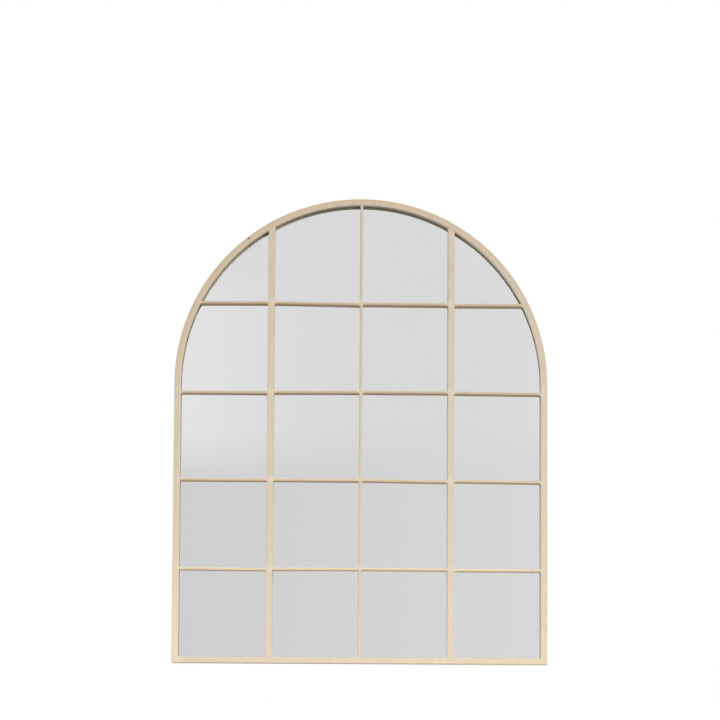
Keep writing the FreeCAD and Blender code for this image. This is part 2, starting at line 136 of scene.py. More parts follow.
def spin_arch():
    """Spins the tube's section half round, from the right leg over the crown to the left leg."""
    deselect_all()
    section_middle = (OUTER - RIM_FACE / 2, (RIM_LOW.y + RIM_HIGH.y) / 2, SPRINGING)
    bpy.ops.mesh.primitive_plane_add(size=1, location=section_middle)
    arch = bpy.context.object
    arch.scale = (RIM_FACE, RIM_HIGH.y - RIM_LOW.y, 1)
    apply_place(arch)
    start_editing(arch)
    bpy.ops.mesh.select_all(action="SELECT")
    bpy.ops.mesh.bevel(offset=TUBE_CORNER, segments=CORNER_STEPS, affect="VERTICES")
    bpy.ops.mesh.select_all(action="SELECT")
    bpy.ops.mesh.spin(steps=ARCH_STEPS, angle=math.pi, center=(0, 0, SPRINGING), axis=(0, 1, 0))
    bpy.ops.mesh.select_all(action="SELECT")
    bpy.ops.mesh.remove_doubles(threshold=MERGE_REACH)
    bpy.ops.mesh.normals_make_consistent(inside=False)
    bpy.ops.mesh.select_all(action="DESELECT")
    pick(arch, "edges", lambda middle: (middle - NICK).length < NICK_FINE_REACH)
    bpy.ops.mesh.subdivide(number_cuts=NICK_FINE_CUTS)
    bpy.ops.mesh.select_all(action="DESELECT")
    pick(arch, "verts", lambda spot: (spot - NICK).length < NICK_REACH)
    bpy.ops.transform.translate(value=NICK_INWARD * NICK_DEPTH + Vector((0, NICK_BACKWARD, 0)))
    finish_editing(arch)
    return arch


arch_skin = spin_arch()


# Cream powder coat
# One coat of matte cream powder paint covers the rim, the grid, the welds and the clips. Painted
# shade and painted light are mixed into its colour: it darkens towards the crown and the upper
# bars, is shaded under, inside the arch and at the outer edges, and is lighter on left-facing
# sides, on the lower bars' upper edges and at the left foot. It is pale and blotchy over the
# ground welds and chipped to the steel at the nick.

# The paint at three heights, where the darker, warmer crown is painted shade, on the welds and where it is
# gone
PAINT_FOOT_LIT = (0.80, 0.68, 0.51)
PAINT_MIDDLE_SHADED = (0.72, 0.615, 0.465)
PAINT_CROWN_SHADED = (0.66, 0.56, 0.43)
PAINT_WELD = (0.80, 0.73, 0.63)
PAINT_SPECK = (1.0, 0.94, 0.84)
CHIP_STEEL = (0.13, 0.10, 0.075)
PAINT_SHADE_STOPS = ((0.0, PAINT_FOOT_LIT), (0.45, PAINT_MIDDLE_SHADED), (0.95, PAINT_CROWN_SHADED))

# Tints that multiply it: painted shade and painted light, apart from TINT_PATCH, which is random blotching
SHADE_TINT_ARCH = (0.97, 0.945, 0.905)
SHADE_TINT_ARCH_RIGHT = (0.97, 0.985, 1.04)
SHADE_TINT_INSIDE = (0.84, 0.95, 1.0)
LIGHT_TINT_INSIDE_RIGHT = (1.55, 1.71, 1.78)
SHADE_TINT_UNDER = (1.12, 1.0, 0.82)
LIGHT_TINT_LEFT_SIDE = (1.22, 1.37, 1.48)
TINT_PATCH = (0.93, 0.90, 0.86)
SHADE_TINT_EDGE = (0.97, 0.90, 0.78)
SHADE_TINT_FOOT_EDGE = (0.73, 0.72, 0.71)
SHADE_TINT_BAR = (0.87, 0.87, 0.87)
HIGHLIGHT_TINT_BAR_TOP = (1.16, 1.14, 1.12)
LIGHT_TINT_LEFT_FOOT = (1.09, 1.09, 1.09)

# Where the tints start and where they are full, as places, distances or shares of a face's normal
RIM_REACH = (INNER - 4 * MM, INNER)
ARCH_HEIGHTS = (SPRINGING - 0.05, SPRINGING + 0.2)
ARCH_RIGHT = (0.1, 0.36)
INSIDE_REACH = (INNER + 0.2 * MM, INNER + 0.8 * MM)
INSIDE_RIGHT = (0.06, 0.32)
OFF_FRONT = (-0.95, -0.6)
FACING_DOWN = (-0.15, -0.8)
FACING_LEFT = (-0.5, -0.95)
FACING_UP = (0.1, 0.7)
EDGE_REACH = (OUTER - 7 * MM, OUTER - 1.5 * MM)
EDGE_SHARE_OFF_ARCH = 0.3
FOOT_EDGE_HEIGHTS = (cad_low.z + 3 * MM, cad_low.z + 1 * MM)
LEFT_FOOT_PLACES = (-INNER + 20 * MM, -INNER)
LEFT_FOOT_HEIGHTS = (-0.45, -0.7)

# The grid that the welds and the bars' tints follow
FOUR = (1, 2, 3, 4)
BAR_NAMES = [f"row_{row}_bar_{number}" for row in FOUR for number in FOUR]
BAR_FACE = 6 * MM
UPRIGHT_HALF = 7 * MM
ROW_CORE = 0.005
ROW_REACH = 0.012
COLUMN_FADE = 6 * MM
CENTRE_FADE = 5 * MM
GRID_REACH = (OUTER - 1.5 * MM, OUTER - 5 * MM)
GRID_DEPTHS = (RIM_LOW.y + 22 * MM, RIM_LOW.y + 18 * MM)

PATCH_RANGE = (0.33, 0.67)
PATCH_SHARE = 0.5
SPECK_RANGE = (0.58, 0.72)
SPECK_SHARE = 0.1
WELD_NOISE_SCALE = 240.0
WELD_NOISE_RANGE = (0.38, 0.62)
WELD_SHARE = 0.7
WELD_LUMPS = 2.0
CHIP_MIDDLE = NICK + NICK_INWARD * (3 * MM)
CHIP_REACH = 2.4 * MM
CHIP_FADE = 0.3 * MM
CHIP_RAGGED = 0.9 * MM
PAINT_ROUGHNESS = (0.62, 0.8)
PAINT_SHINE = 0.25
PAINT_RELIEF = 0.12 * MM


def new_material(name):
    """Makes a material and gives its node tree, its surface shader and object coordinates."""
    material = bpy.data.materials.new(name)
    material.use_nodes = True
    tree = material.node_tree
    place = tree.nodes.new("ShaderNodeTexCoord").outputs["Object"]
    return material, tree, tree.nodes["Principled BSDF"], place


def feed(tree, source, socket):
    """Sets a socket from a number or a colour, or links it to another socket."""
    if isinstance(source, (int, float)):
        socket.default_value = source
    elif isinstance(source, tuple):
        socket.default_value = (*source, 1) if socket.type == "RGBA" else source
    else:
        tree.links.new(source, socket)


def stretched(tree, place, shares):
    """Stretches a place along the three axes."""
    mapping = tree.nodes.new("ShaderNodeMapping")
    feed(tree, place, mapping.inputs["Vector"])
    mapping.inputs["Scale"].default_value = shares
    return mapping.outputs["Vector"]


def distance_of(tree, place, spot=(0.0, 0.0, 0.0)):
    """Gives how far a place is from a spot."""
    node = tree.nodes.new("ShaderNodeVectorMath")
    node.operation = "DISTANCE"
    feed(tree, place, node.inputs[0])
    node.inputs[1].default_value = spot
    return node.outputs["Value"]


def noise_of(tree, place, scale, detail=3.0, rough=0.5):
    """Adds a noise texture on a place and gives its value."""
    texture = tree.nodes.new("ShaderNodeTexNoise")
    for name, source in (("Vector", place), ("Scale", scale), ("Detail", detail), ("Roughness", rough)):
        feed(tree, source, texture.inputs[name])
    return texture.outputs["Fac"]


def ramp_of(tree, value, stops):
    """Adds a colour ramp on a value. Each stop is a place and a grey or a colour."""
    ramp = tree.nodes.new("ShaderNodeValToRGB")
    points = ramp.color_ramp.elements
    for index, (place, colour) in enumerate(stops):
        point = points[index] if index < 2 else points.new(place)
        point.position = place
        point.color = (*colour, 1) if isinstance(colour, tuple) else (colour, colour, colour, 1)
    feed(tree, value, ramp.inputs["Fac"])
    return ramp.outputs["Color"]


def map_of(tree, value, low, high, to_low=0.0, to_high=1.0):
    """Maps a value from one range to another and keeps it inside that."""
    mapped = tree.nodes.new("ShaderNodeMapRange")
    ends = (("Value", value), ("From Min", low), ("From Max", high), ("To Min", to_low), ("To Max", to_high))
    for name, source in ends:
        feed(tree, source, mapped.inputs[name])
    return mapped.outputs["Result"]


def spread(tree, mask, low, high):
    """Maps a mask, which runs from 0 to 1, to another range."""
    return map_of(tree, mask, 0, 1, low, high)


def flipped(tree, mask):
    """Turns a mask round, so that it is full where it was empty."""
    return spread(tree, mask, 1, 0)


def math_of(tree, kind, *terms):
    """Adds a math node over its terms."""
    node = tree.nodes.new("ShaderNodeMath")
    node.operation = kind
    for term, socket in zip(terms, node.inputs):
        feed(tree, term, socket)
    return node.outputs["Value"]


def overlap(tree, first, *others):
    """Multiplies masks, so that only the place that all of them share is left."""
    for other in others:
        first = math_of(tree, "MULTIPLY", first, other)
    return first


def blend_of(tree, factor, first, second, kind="MIX"):
    """Mixes two colours by a factor."""
    mix = tree.nodes.new("ShaderNodeMix")
    mix.data_type = "RGBA"
    mix.blend_type = kind
    for source, socket in ((factor, mix.inputs[0]), (first, mix.inputs[6]), (second, mix.inputs[7])):
        feed(tree, source, socket)
    return mix.outputs[2]


def axes_of(tree, vector):
    """Splits a place or a normal into its three axes."""
    split = tree.nodes.new("ShaderNodeSeparateXYZ")
    feed(tree, vector, split.inputs["Vector"])
    return split.outputs


def normal_of(tree):
    """Gives the three axes of the normal, so which way a face looks."""
    return axes_of(tree, tree.nodes.new("ShaderNodeNewGeometry").outputs["Normal"])


def dress(tree, shader, colour, roughness, relief, depth):
    """Feeds the shader its colour, its roughness and a bump of a real depth."""
    feed(tree, colour, shader.inputs["Base Color"])
    feed(tree, roughness, shader.inputs["Roughness"])
    bump = tree.nodes.new("ShaderNodeBump")
    bump.inputs["Distance"].default_value = depth
    feed(tree, relief, bump.inputs["Height"])
    feed(tree, bump.outputs["Normal"], shader.inputs["Normal"])


def middle_of(name):
    """Gives the middle of a CAD node's box."""
    return sum(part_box(name), Vector()) / 2


def give_material(names, material):
    """Gives CAD nodes one material in every slot."""
    for name in names:
        nodes[name].data.materials.clear()
        nodes[name].data.materials.append(material)


fine_surface = bpy.data.node_groups.new("fine_surface", "ShaderNodeTree")
for label, kind in (("Place", "Vector"), ("Patch scale", "Float"), ("Speck scale", "Float")):
    fine_surface.interface.new_socket(label, in_out="INPUT", socket_type=f"NodeSocket{kind}")
for label in ("Patches", "Specks", "Grain"):
    fine_surface.interface.new_socket(label, in_out="OUTPUT", socket_type="NodeSocketFloat")
entry = fine_surface.nodes.new("NodeGroupInput").outputs
leave = fine_surface.nodes.new("NodeGroupOutput").inputs
patches = noise_of(fine_surface, entry["Place"], entry["Patch scale"], detail=4.0, rough=0.6)
specks = noise_of(fine_surface, entry["Place"], entry["Speck scale"], detail=2.0)
feed(fine_surface, map_of(fine_surface, patches, *PATCH_RANGE), leave["Patches"])
feed(fine_surface, map_of(fine_surface, specks, *SPECK_RANGE), leave["Specks"])
feed(fine_surface, specks, leave["Grain"])


def surface_of(tree, place, patch_scale, speck_scale):
    """Places the fine_surface group in a material: soft patches, small specks and a fine grain."""
    node = tree.nodes.new("ShaderNodeGroup")
    node.node_tree = fine_surface
    for name, source in (("Place", place), ("Patch scale", patch_scale), ("Speck scale", speck_scale)):
        feed(tree, source, node.inputs[name])
    return node.outputs


ROW_HEIGHTS = [sum(middle_of(f"row_{row}_bar_{number}").z for number in FOUR) / len(FOUR) for row in FOUR]
UPRIGHT_PLACE = middle_of("right_upright").x

paint, tree, shader, place = new_material("cream_powder_coat")
surface = surface_of(tree, place, patch_scale=60.0, speck_scale=1400.0)
x, y, z = axes_of(tree, place)
facing = normal_of(tree)
height = map_of(tree, z, cad_low.z, cad_high.z)
across = math_of(tree, "ABSOLUTE", x)
from_springing = distance_of(tree, stretched(tree, place, (1.0, 0.0, 1.0)), (0.0, 0.0, SPRINGING))
over_springing = overlap(tree, from_springing, math_of(tree, "GREATER_THAN", z, SPRINGING))
outward = math_of(tree, "MAXIMUM", across, over_springing)

on_arch = overlap(tree, map_of(tree, from_springing, *RIM_REACH), map_of(tree, z, *ARCH_HEIGHTS))
off_arch = flipped(tree, on_arch)
# Painted shade: the arch is darker and warmer, less so and cooler towards its right.
arch_shade_tint = blend_of(tree, map_of(tree, x, *ARCH_RIGHT), SHADE_TINT_ARCH, SHADE_TINT_ARCH_RIGHT)
# Painted shade greys the arch's inner face, and painted light lightens it towards the right shoulder.
inside = overlap(tree, on_arch, map_of(tree, from_springing, *INSIDE_REACH, 1, 0),
                 map_of(tree, facing["Y"], *OFF_FRONT))
inside_shade_and_light = blend_of(tree, map_of(tree, x, *INSIDE_RIGHT), SHADE_TINT_INSIDE, LIGHT_TINT_INSIDE_RIGHT)
# Painted shade: down-facing faces below the arch take a warm shade colour.
painted_under_shade = overlap(tree, map_of(tree, facing["Z"], *FACING_DOWN), off_arch)
# Painted light: left-facing faces below the arch are lighter and greyer.
painted_left_light = overlap(tree, map_of(tree, facing["X"], *FACING_LEFT), off_arch)
# Painted shade: the rim's outer edges are darker and warmer, less so off the arch.
shaded_edge = overlap(tree, map_of(tree, outward, *EDGE_REACH), spread(tree, on_arch, EDGE_SHARE_OFF_ARCH, 1.0))
# Painted shade: the lowest few millimetres of the rail are darker.
shaded_foot_edge = map_of(tree, z, *FOOT_EDGE_HEIGHTS)
# Painted light: the lower part of the left leg is lighter.
lit_left_foot = overlap(tree, map_of(tree, x, *LEFT_FOOT_PLACES), map_of(tree, z, *LEFT_FOOT_HEIGHTS))

row_stops = [(0.0, 0.0)]
for row_height in ROW_HEIGHTS:
    share = (row_height - cad_low.z) / (cad_high.z - cad_low.z)
    row_stops += [(share - ROW_REACH, 0.0), (share - ROW_CORE, 1.0),
                  (share + ROW_CORE, 1.0), (share + ROW_REACH, 0.0)]
near_row = ramp_of(tree, height, row_stops)
upright_near = UPRIGHT_PLACE - UPRIGHT_HALF
upright_far = UPRIGHT_PLACE + UPRIGHT_HALF
column_stops = ((0.0, 1.0), (BAR_FACE / 2, 1.0), (BAR_FACE / 2 + CENTRE_FADE, 0.0),
                (upright_near - COLUMN_FADE, 0.0), (upright_near, 1.0), (upright_far, 1.0),
                (upright_far + COLUMN_FADE, 0.0), (INNER - COLUMN_FADE, 0.0), (INNER, 1.0))
near_column = ramp_of(tree, map_of(tree, across, 0, OUTER),
                      [(spot / OUTER, grey) for spot, grey in column_stops])
# Painted shade: the row bars are darker from the second row upwards, fully at the third and fourth.
shaded_bar = overlap(tree, near_row, flipped(tree, near_column),
                 map_of(tree, z, ROW_HEIGHTS[0], ROW_HEIGHTS[2]), map_of(tree, outward, *RIM_REACH, 1, 0))
# Painted highlight: the up-facing front edges of the lower row bars are lighter.
highlit_bar_top = overlap(tree, near_row, map_of(tree, z, ROW_HEIGHTS[2], ROW_HEIGHTS[0]),
                     map_of(tree, facing["Z"], *FACING_UP))

# The colour darkens and warms from the foot to the crown: painted shade for light that falls off upwards.
base = ramp_of(tree, height, PAINT_SHADE_STOPS)
patchy = spread(tree, surface["Patches"], 0.0, PATCH_SHARE)
for mask, tint in ((on_arch, arch_shade_tint), (inside, inside_shade_and_light), (painted_under_shade, SHADE_TINT_UNDER),
                   (painted_left_light, LIGHT_TINT_LEFT_SIDE), (patchy, TINT_PATCH)):
    base = blend_of(tree, mask, base, tint, "MULTIPLY")
base = blend_of(tree, spread(tree, surface["Specks"], 0.0, SPECK_SHARE), base, PAINT_SPECK, "SCREEN")
for mask, tint in ((shaded_edge, SHADE_TINT_EDGE), (shaded_foot_edge, SHADE_TINT_FOOT_EDGE), (shaded_bar, SHADE_TINT_BAR),
                   (highlit_bar_top, HIGHLIGHT_TINT_BAR_TOP), (lit_left_foot, LIGHT_TINT_LEFT_FOOT)):
    base = blend_of(tree, mask, base, tint, "MULTIPLY")

weld_noise = noise_of(tree, place, WELD_NOISE_SCALE, detail=4.0, rough=0.65)
on_weld = overlap(tree, near_row, near_column, map_of(tree, outward, *GRID_REACH),
                  map_of(tree, y, *GRID_DEPTHS), map_of(tree, weld_noise, *WELD_NOISE_RANGE))
base = blend_of(tree, spread(tree, on_weld, 0.0, WELD_SHARE), base, PAINT_WELD)
ragged = math_of(tree, "ADD", distance_of(tree, place, CHIP_MIDDLE),
                 spread(tree, weld_noise, -CHIP_RAGGED, CHIP_RAGGED))
chipped = map_of(tree, ragged, CHIP_REACH - CHIP_FADE, CHIP_REACH, 1.0, 0.0)
base = blend_of(tree, chipped, base, CHIP_STEEL)
lumps = math_of(tree, "MULTIPLY_ADD", on_weld, WELD_LUMPS, surface["Grain"])
dress(tree, shader, base, spread(tree, surface["Patches"], *PAINT_ROUGHNESS), lumps, PAINT_RELIEF)
shader.inputs["Specular IOR Level"].default_value = PAINT_SHINE

name_piece(arch_skin, "arch_skin", paint, stands_for=("arch_tube",))
give_material(["left_leg", "right_leg", "bottom_rail", "left_upright", "right_upright", "centre_bar",
               *BAR_NAMES, "retaining_clips"], paint)


# Grid welds
# Each row bar is welded all round its two ends, and each upright and the centre bar along both
# sides of their ends. The beads are small, a little lumpy and painted with the frame. A seam that
# is ground flush closes the groove across the front of each upright's ends.

GRID_FRONT = RIM_LOW.y + 0.1 * MM
GLASS_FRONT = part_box("mirror_glass")[0].y - 0.1 * MM
WELD_DEPTH = GLASS_FRONT - GRID_FRONT
WELD_MIDDLE = (GRID_FRONT + GLASS_FRONT) / 2
RAIL_TOP = cad_low.z + RIM_FACE
UPRIGHTS = ((-UPRIGHT_PLACE, UPRIGHT_HALF), (0.0, BAR_FACE / 2), (UPRIGHT_PLACE, UPRIGHT_HALF))
BAR_END_REACH = 3.5 * MM
COLLAR_REACH = 2.4 * MM
COLLAR_RISE = 1.5 * MM
COLLAR_HEIGHT = BAR_FACE + 2 * COLLAR_RISE
COLLAR_SINK = 0.3 * MM
COLLAR_TAPER = 0.93
COLLAR_CUTS = 4
BEAD_SIDES = 10
BEAD_RADIUS = 1.7 * MM
BEAD_SHORTER = 1.5 * MM
SEAM_SIDES = 12
SEAM_RADIUS = 1.3 * MM
SEAM_SHORTER = 1 * MM
SEAM_BEHIND = 0.1 * MM
SEAM_SINK = 0.6 * MM
ROD_CUTS = 3
WELD_SHAKE = 0.5 * MM
SEAM_SHAKE = 0.15 * MM


def roughen(piece, seed, amount):
    """Shakes a weld a little, as hand-laid metal is, and softens it."""
    start_editing(piece)
    bpy.ops.mesh.select_all(action="SELECT")
    bpy.ops.transform.vertex_random(offset=amount, uniform=0.6, normal=0.4, seed=seed)
    bpy.ops.mesh.vertices_smooth(factor=0.5, repeat=2)
    finish_editing(piece, smooth_angle=80)


def make_collar():
    """Makes the weld round a bar's end: wide on the upright's face and tapered onto the bar."""
    deselect_all()
    bpy.ops.mesh.primitive_cube_add(size=1, location=(COLLAR_REACH / 2 - COLLAR_SINK, WELD_MIDDLE, 0))
    collar = bpy.context.object
    collar.scale = (COLLAR_REACH, WELD_DEPTH, COLLAR_HEIGHT)
    apply_place(collar)
    start_editing(collar, "FACE")
    pick(collar, "faces", lambda middle: middle.x > COLLAR_REACH / 2)
    bpy.ops.transform.resize(value=(1, COLLAR_TAPER, BAR_FACE / COLLAR_HEIGHT))
    bpy.ops.mesh.select_all(action="SELECT")
    bpy.ops.mesh.subdivide(number_cuts=COLLAR_CUTS)
    finish_editing(collar)
    return collar


def make_rod(sides, radius, length, middle, turn):
    """Makes a straight round weld, cut up finely enough to be roughened."""
    deselect_all()
    bpy.ops.mesh.primitive_cylinder_add(vertices=sides, radius=radius, depth=length, location=middle,
                                        rotation=turn)
    rod = bpy.context.object
    apply_place(rod)
    start_editing(rod)
    bpy.ops.mesh.select_all(action="SELECT")
    bpy.ops.mesh.subdivide(number_cuts=ROD_CUTS)
    finish_editing(rod)
    return rod


def make_seam(middle, half, height, slope):
    """Makes the ground weld across the front of an upright's end, sloped as the rim is there."""
    return make_rod(SEAM_SIDES, SEAM_RADIUS, 2 * half / math.cos(slope) - SEAM_SHORTER,
                    (middle, GRID_FRONT + SEAM_RADIUS + SEAM_BEHIND, height), (0, math.pi / 2 + slope, 0))


def copy_to(pattern, spot, turned=False):
    """Copies a weld with its own mesh to a place on the grid, turned end for end if asked."""
    copy = pattern.copy()
    copy.data = pattern.data.copy()
    bpy.context.scene.collection.objects.link(copy)
    copy.rotation_euler = (0, math.pi, 0) if turned else (0, 0, 0)
    copy.location = spot
    apply_place(copy)
    return copy


def bar_ends(name):
    """Gives the middle of a row bar's left end and of its right end."""
    corners = [vertex.co for vertex in nodes[name].data.vertices]
    low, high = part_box(name)
    ends = []
    for side in (low.x, high.x):
        heights = [corner.z for corner in corners if abs(corner.x - side) < BAR_END_REACH]
        ends.append(Vector((side, 0, (min(heights) + max(heights)) / 2)))
    return ends


welds = []
collar = make_collar()
bead = make_rod(BEAD_SIDES, BEAD_RADIUS, WELD_DEPTH - BEAD_SHORTER, (0, WELD_MIDDLE, 0), (math.pi / 2, 0, 0))
for name in BAR_NAMES:
    left_end, right_end = bar_ends(name)
    welds += [copy_to(collar, left_end), copy_to(collar, right_end, turned=True)]
for middle, half in UPRIGHTS:
    for side in (middle - half, middle + half):
        crown = SPRINGING + math.sqrt(INNER ** 2 - side ** 2)
        welds += [copy_to(bead, Vector((side, 0, RAIL_TOP))), copy_to(bead, Vector((side, 0, crown)))]
seams = []
for middle, half in UPRIGHTS:
    crown = SPRINGING + math.sqrt((INNER + SEAM_SINK) ** 2 - middle ** 2)
    seams += [make_seam(middle, half, RAIL_TOP - SEAM_SINK, 0.0),
              make_seam(middle, half, crown, math.asin(middle / INNER))]
for seed, weld in enumerate(welds + seams):
    roughen(weld, seed, WELD_SHAKE if weld in welds else SEAM_SHAKE)
for pattern in (collar, bead):
    bpy.data.objects.remove(pattern)
deselect_all()
for weld in welds + seams:
    weld.select_set(True)
bpy.context.view_layer.objects.active = welds[0]
bpy.ops.object.join()
name_piece(bpy.context.object, "grid_welds", paint)


# Mirror glass
# One arched sheet of 3 mm float glass, silvered behind. Its face is clean but for faint wiping
# marks, its ground edge is green and its back is grey protective paint.

SILVER = (0.776, 0.778, 0.776)
GLASS_EDGE = (0.16, 0.30, 0.24)
GLASS_BACK = (0.24, 0.25, 0.26)
FLAT_ON = 0.5
WIPE_SCALE = 7.0
WIPE_RANGE = (0.4, 0.7)
FRONT_ROUGHNESS = (0.006, 0.03)
BACK_ROUGHNESS = 0.45

mirror, tree, shader, place = new_material("silvered_glass")
facing = normal_of(tree)["Y"]
silvered = math_of(tree, "LESS_THAN", facing, -FLAT_ON)
behind = math_of(tree, "GREATER_THAN", facing, FLAT_ON)
base = blend_of(tree, behind, GLASS_EDGE, GLASS_BACK)
feed(tree, blend_of(tree, silvered, base, SILVER), shader.inputs["Base Color"])
feed(tree, silvered, shader.inputs["Metallic"])
wipes = noise_of(tree, stretched(tree, place, (1.0, 1.0, 0.3)), WIPE_SCALE, detail=5.0)
roughness = math_of(tree, "MAXIMUM", map_of(tree, wipes, *WIPE_RANGE, *FRONT_ROUGHNESS),
                    spread(tree, silvered, BACK_ROUGHNESS, 0.0))
feed(tree, roughness, shader.inputs["Roughness"])
give_material(["mirror_glass"], mirror)


# Mounting tape
# Four strips of white double-sided foam tape hold the glass to the board. The foam's open cells
# show along the strips' sides.

TAPE_CELL = (0.62, 0.62, 0.6)
TAPE_WALL = (0.86, 0.86, 0.84)
TAPE_AGED = (0.92, 0.9, 0.84)
TAPE_AGED_SHARE = 0.3
CELL_SCALE = 1400.0
CELL_RANGE = (0.0, 0.7)
TAPE_ROUGHNESS = (0.75, 0.9)
TAPE_RELIEF = 0.2 * MM

tape, tree, shader, place = new_material("foam_tape")
surface = surface_of(tree, place, patch_scale=40.0, speck_scale=900.0)
voronoi = tree.nodes.new("ShaderNodeTexVoronoi")
feed(tree, place, voronoi.inputs["Vector"])
voronoi.inputs["Scale"].default_value = CELL_SCALE
cells = voronoi.outputs["Distance"]
base = blend_of(tree, map_of(tree, cells, *CELL_RANGE), TAPE_CELL, TAPE_WALL)
base = blend_of(tree, spread(tree, surface["Patches"], 0.0, TAPE_AGED_SHARE), base, TAPE_AGED, "MULTIPLY")
dress(tree, shader, base, spread(tree, surface["Patches"], *TAPE_ROUGHNESS), cells, TAPE_RELIEF)
give_material(["mounting_tape"], tape)


# Setting pads and wall bumpers
# Black rubber: two strips that the glass stands on, and four round bumpers stuck to the back of
# the rim. The moulded skin is matte and finely grained, with a little pale dust on it.

RUBBER = (0.022, 0.022, 0.023)
RUBBER_DUST = (0.11, 0.105, 0.095)
RUBBER_SPECK = (0.2, 0.19, 0.17)
DUST_SHARE = 0.45
DUST_SPECK_SHARE = 0.4
RUBBER_ROUGHNESS = (0.62, 0.85)
RUBBER_RELIEF = 0.08 * MM

rubber, tree, shader, place = new_material("black_rubber")
surface = surface_of(tree, place, patch_scale=260.0, speck_scale=1900.0)
base = blend_of(tree, spread(tree, surface["Patches"], 0.0, DUST_SHARE), RUBBER, RUBBER_DUST)
base = blend_of(tree, spread(tree, surface["Specks"], 0.0, DUST_SPECK_SHARE), base, RUBBER_SPECK)
dress(tree, shader, base, spread(tree, surface["Patches"], *RUBBER_ROUGHNESS), surface["Grain"],
      RUBBER_RELIEF)
give_material(["setting_pads", "wall_bumpers"], rubber)


# Backing board
# A 9 mm board of medium-density fibreboard, sawn to the arch, that backs the glass and takes the
# screws. Its back is raw and flecked with fibres, its sawn edge is darker, and its front is primed.

BOARD_FACE = (0.49, 0.34, 0.205)
BOARD_DARK = (0.465, 0.318, 0.189)
BOARD_FLECK = (0.66, 0.50, 0.34)
BOARD_FIBRE = (0.27, 0.17, 0.095)
BOARD_EDGE = (0.62, 0.56, 0.50)
BOARD_PRIMED = (0.84, 0.79, 0.68)
PRIMED_SHARES = (0.94, 0.82)
FLECK_SCALE = 2600.0
FLECK_RANGE = (0.52, 0.74)
FIBRE_SCALE = 2300.0
FIBRE_RANGE = (0.54, 0.76)
FIBRE_SHARE = 0.4
BOARD_ROUGHNESS = (0.7, 0.85)
BOARD_RELIEF = 0.1 * MM

board, tree, shader, place = new_material("raw_fibreboard")
surface = surface_of(tree, place, patch_scale=14.0, speck_scale=620.0)
flecks = noise_of(tree, stretched(tree, place, (1.0, 1.0, 0.35)), FLECK_SCALE, detail=3.0)
fibres = noise_of(tree, stretched(tree, place, (0.35, 1.0, 1.0)), FIBRE_SCALE, detail=3.0)
base = blend_of(tree, surface["Patches"], BOARD_FACE, BOARD_DARK)
base = blend_of(tree, map_of(tree, flecks, *FLECK_RANGE, 0.0, FIBRE_SHARE), base, BOARD_FLECK)
base = blend_of(tree, map_of(tree, fibres, *FIBRE_RANGE, 0.0, FIBRE_SHARE), base, BOARD_FIBRE)
facing = normal_of(tree)["Y"]
sawn = math_of(tree, "LESS_THAN", math_of(tree, "ABSOLUTE", facing), FLAT_ON)
base = blend_of(tree, sawn, base, BOARD_EDGE, "MULTIPLY")
primed = overlap(tree, math_of(tree, "LESS_THAN", facing, -FLAT_ON),
                 spread(tree, surface["Patches"], *PRIMED_SHARES))
base = blend_of(tree, primed, base, BOARD_PRIMED)
dress(tree, shader, base, spread(tree, surface["Patches"], *BOARD_ROUGHNESS),
      math_of(tree, "ADD", flecks, fibres), BOARD_RELIEF)
give_material(["backing_board"], board)


# Screws, hanger straps and D-rings
# Bright zinc-plated steel: pan-head screws through the clips and the straps, pressed straps with a
# rolled eye, and rings of bent wire. The plate is faintly mottled and finely scratched.

ZINC_COOL = (0.60, 0.62, 0.65)
ZINC_WARM = (0.66, 0.63, 0.56)
ZINC_SCRATCH = (0.34, 0.34, 0.34)
SCRATCH_SCALE = 1600.0
SCRATCH_RANGE = (0.58, 0.7)
SCRATCH_SHARE = 0.4
SCRATCH_ROUGH_RANGE = (0.55, 0.7)
SCRATCH_ROUGHNESS = 0.15
ZINC_ROUGHNESS = (0.26, 0.4)
ZINC_RELIEF = 0.02 * MM

zinc, tree, shader, place = new_material("bright_zinc")
surface = surface_of(tree, place, patch_scale=180.0, speck_scale=1500.0)
scratches = noise_of(tree, stretched(tree, place, (1.0, 1.0, 0.06)), SCRATCH_SCALE, detail=2.0)
base = blend_of(tree, surface["Patches"], ZINC_COOL, ZINC_WARM)
base = blend_of(tree, map_of(tree, scratches, *SCRATCH_RANGE, 0.0, SCRATCH_SHARE), base, ZINC_SCRATCH)
roughness = math_of(tree, "ADD", spread(tree, surface["Patches"], *ZINC_ROUGHNESS),
                    map_of(tree, scratches, *SCRATCH_ROUGH_RANGE, 0.0, SCRATCH_ROUGHNESS))
dress(tree, shader, base, roughness, scratches, ZINC_RELIEF)
shader.inputs["Metallic"].default_value = 1.0
give_material(["clip_screws", "hanger_screws", "left_hanger_strap", "right_hanger_strap", "left_d_ring",
               "right_d_ring"], zinc)


# Studio
# The mirror hangs free in a white room. A pale wall far behind the camera shows in the glass, and
# two soft lamps hang high on the right, one before the mirror and one behind it. The wall is a
# glowing panel, and the floor glows a little too; each has one tone for the eye and one for the
# mirror, and the floor a third for the light that it bounces, with a painted pool of light before
# the mirror and a painted shadow strip under it.

CAMERA_PLACE = Vector((-0.032, -6.39, -0.86))
CAMERA_PITCH = 5.552
CAMERA_YAW = 0.305
CAMERA_ROLL = -0.327
CAMERA_LENS = 148.75
CAMERA_SENSOR = 36
CAMERA_SHIFT = 0.06
CAMERA_SIGHT = 100

camera_data = bpy.data.cameras.new("camera")
camera_data.lens = CAMERA_LENS
camera_data.sensor_width = CAMERA_SENSOR
camera_data.shift_y = CAMERA_SHIFT
camera_data.clip_end = CAMERA_SIGHT
camera = bpy.data.objects.new("camera", camera_data)
bpy.context.scene.collection.objects.link(camera)
camera.location = CAMERA_PLACE
camera.rotation_euler = (math.radians(90 + CAMERA_PITCH), math.radians(CAMERA_ROLL),
                         math.radians(-CAMERA_YAW))
bpy.context.scene.camera = camera

BLACK = (0.0, 0.0, 0.0)
WHITE = (1.0, 1.0, 1.0)

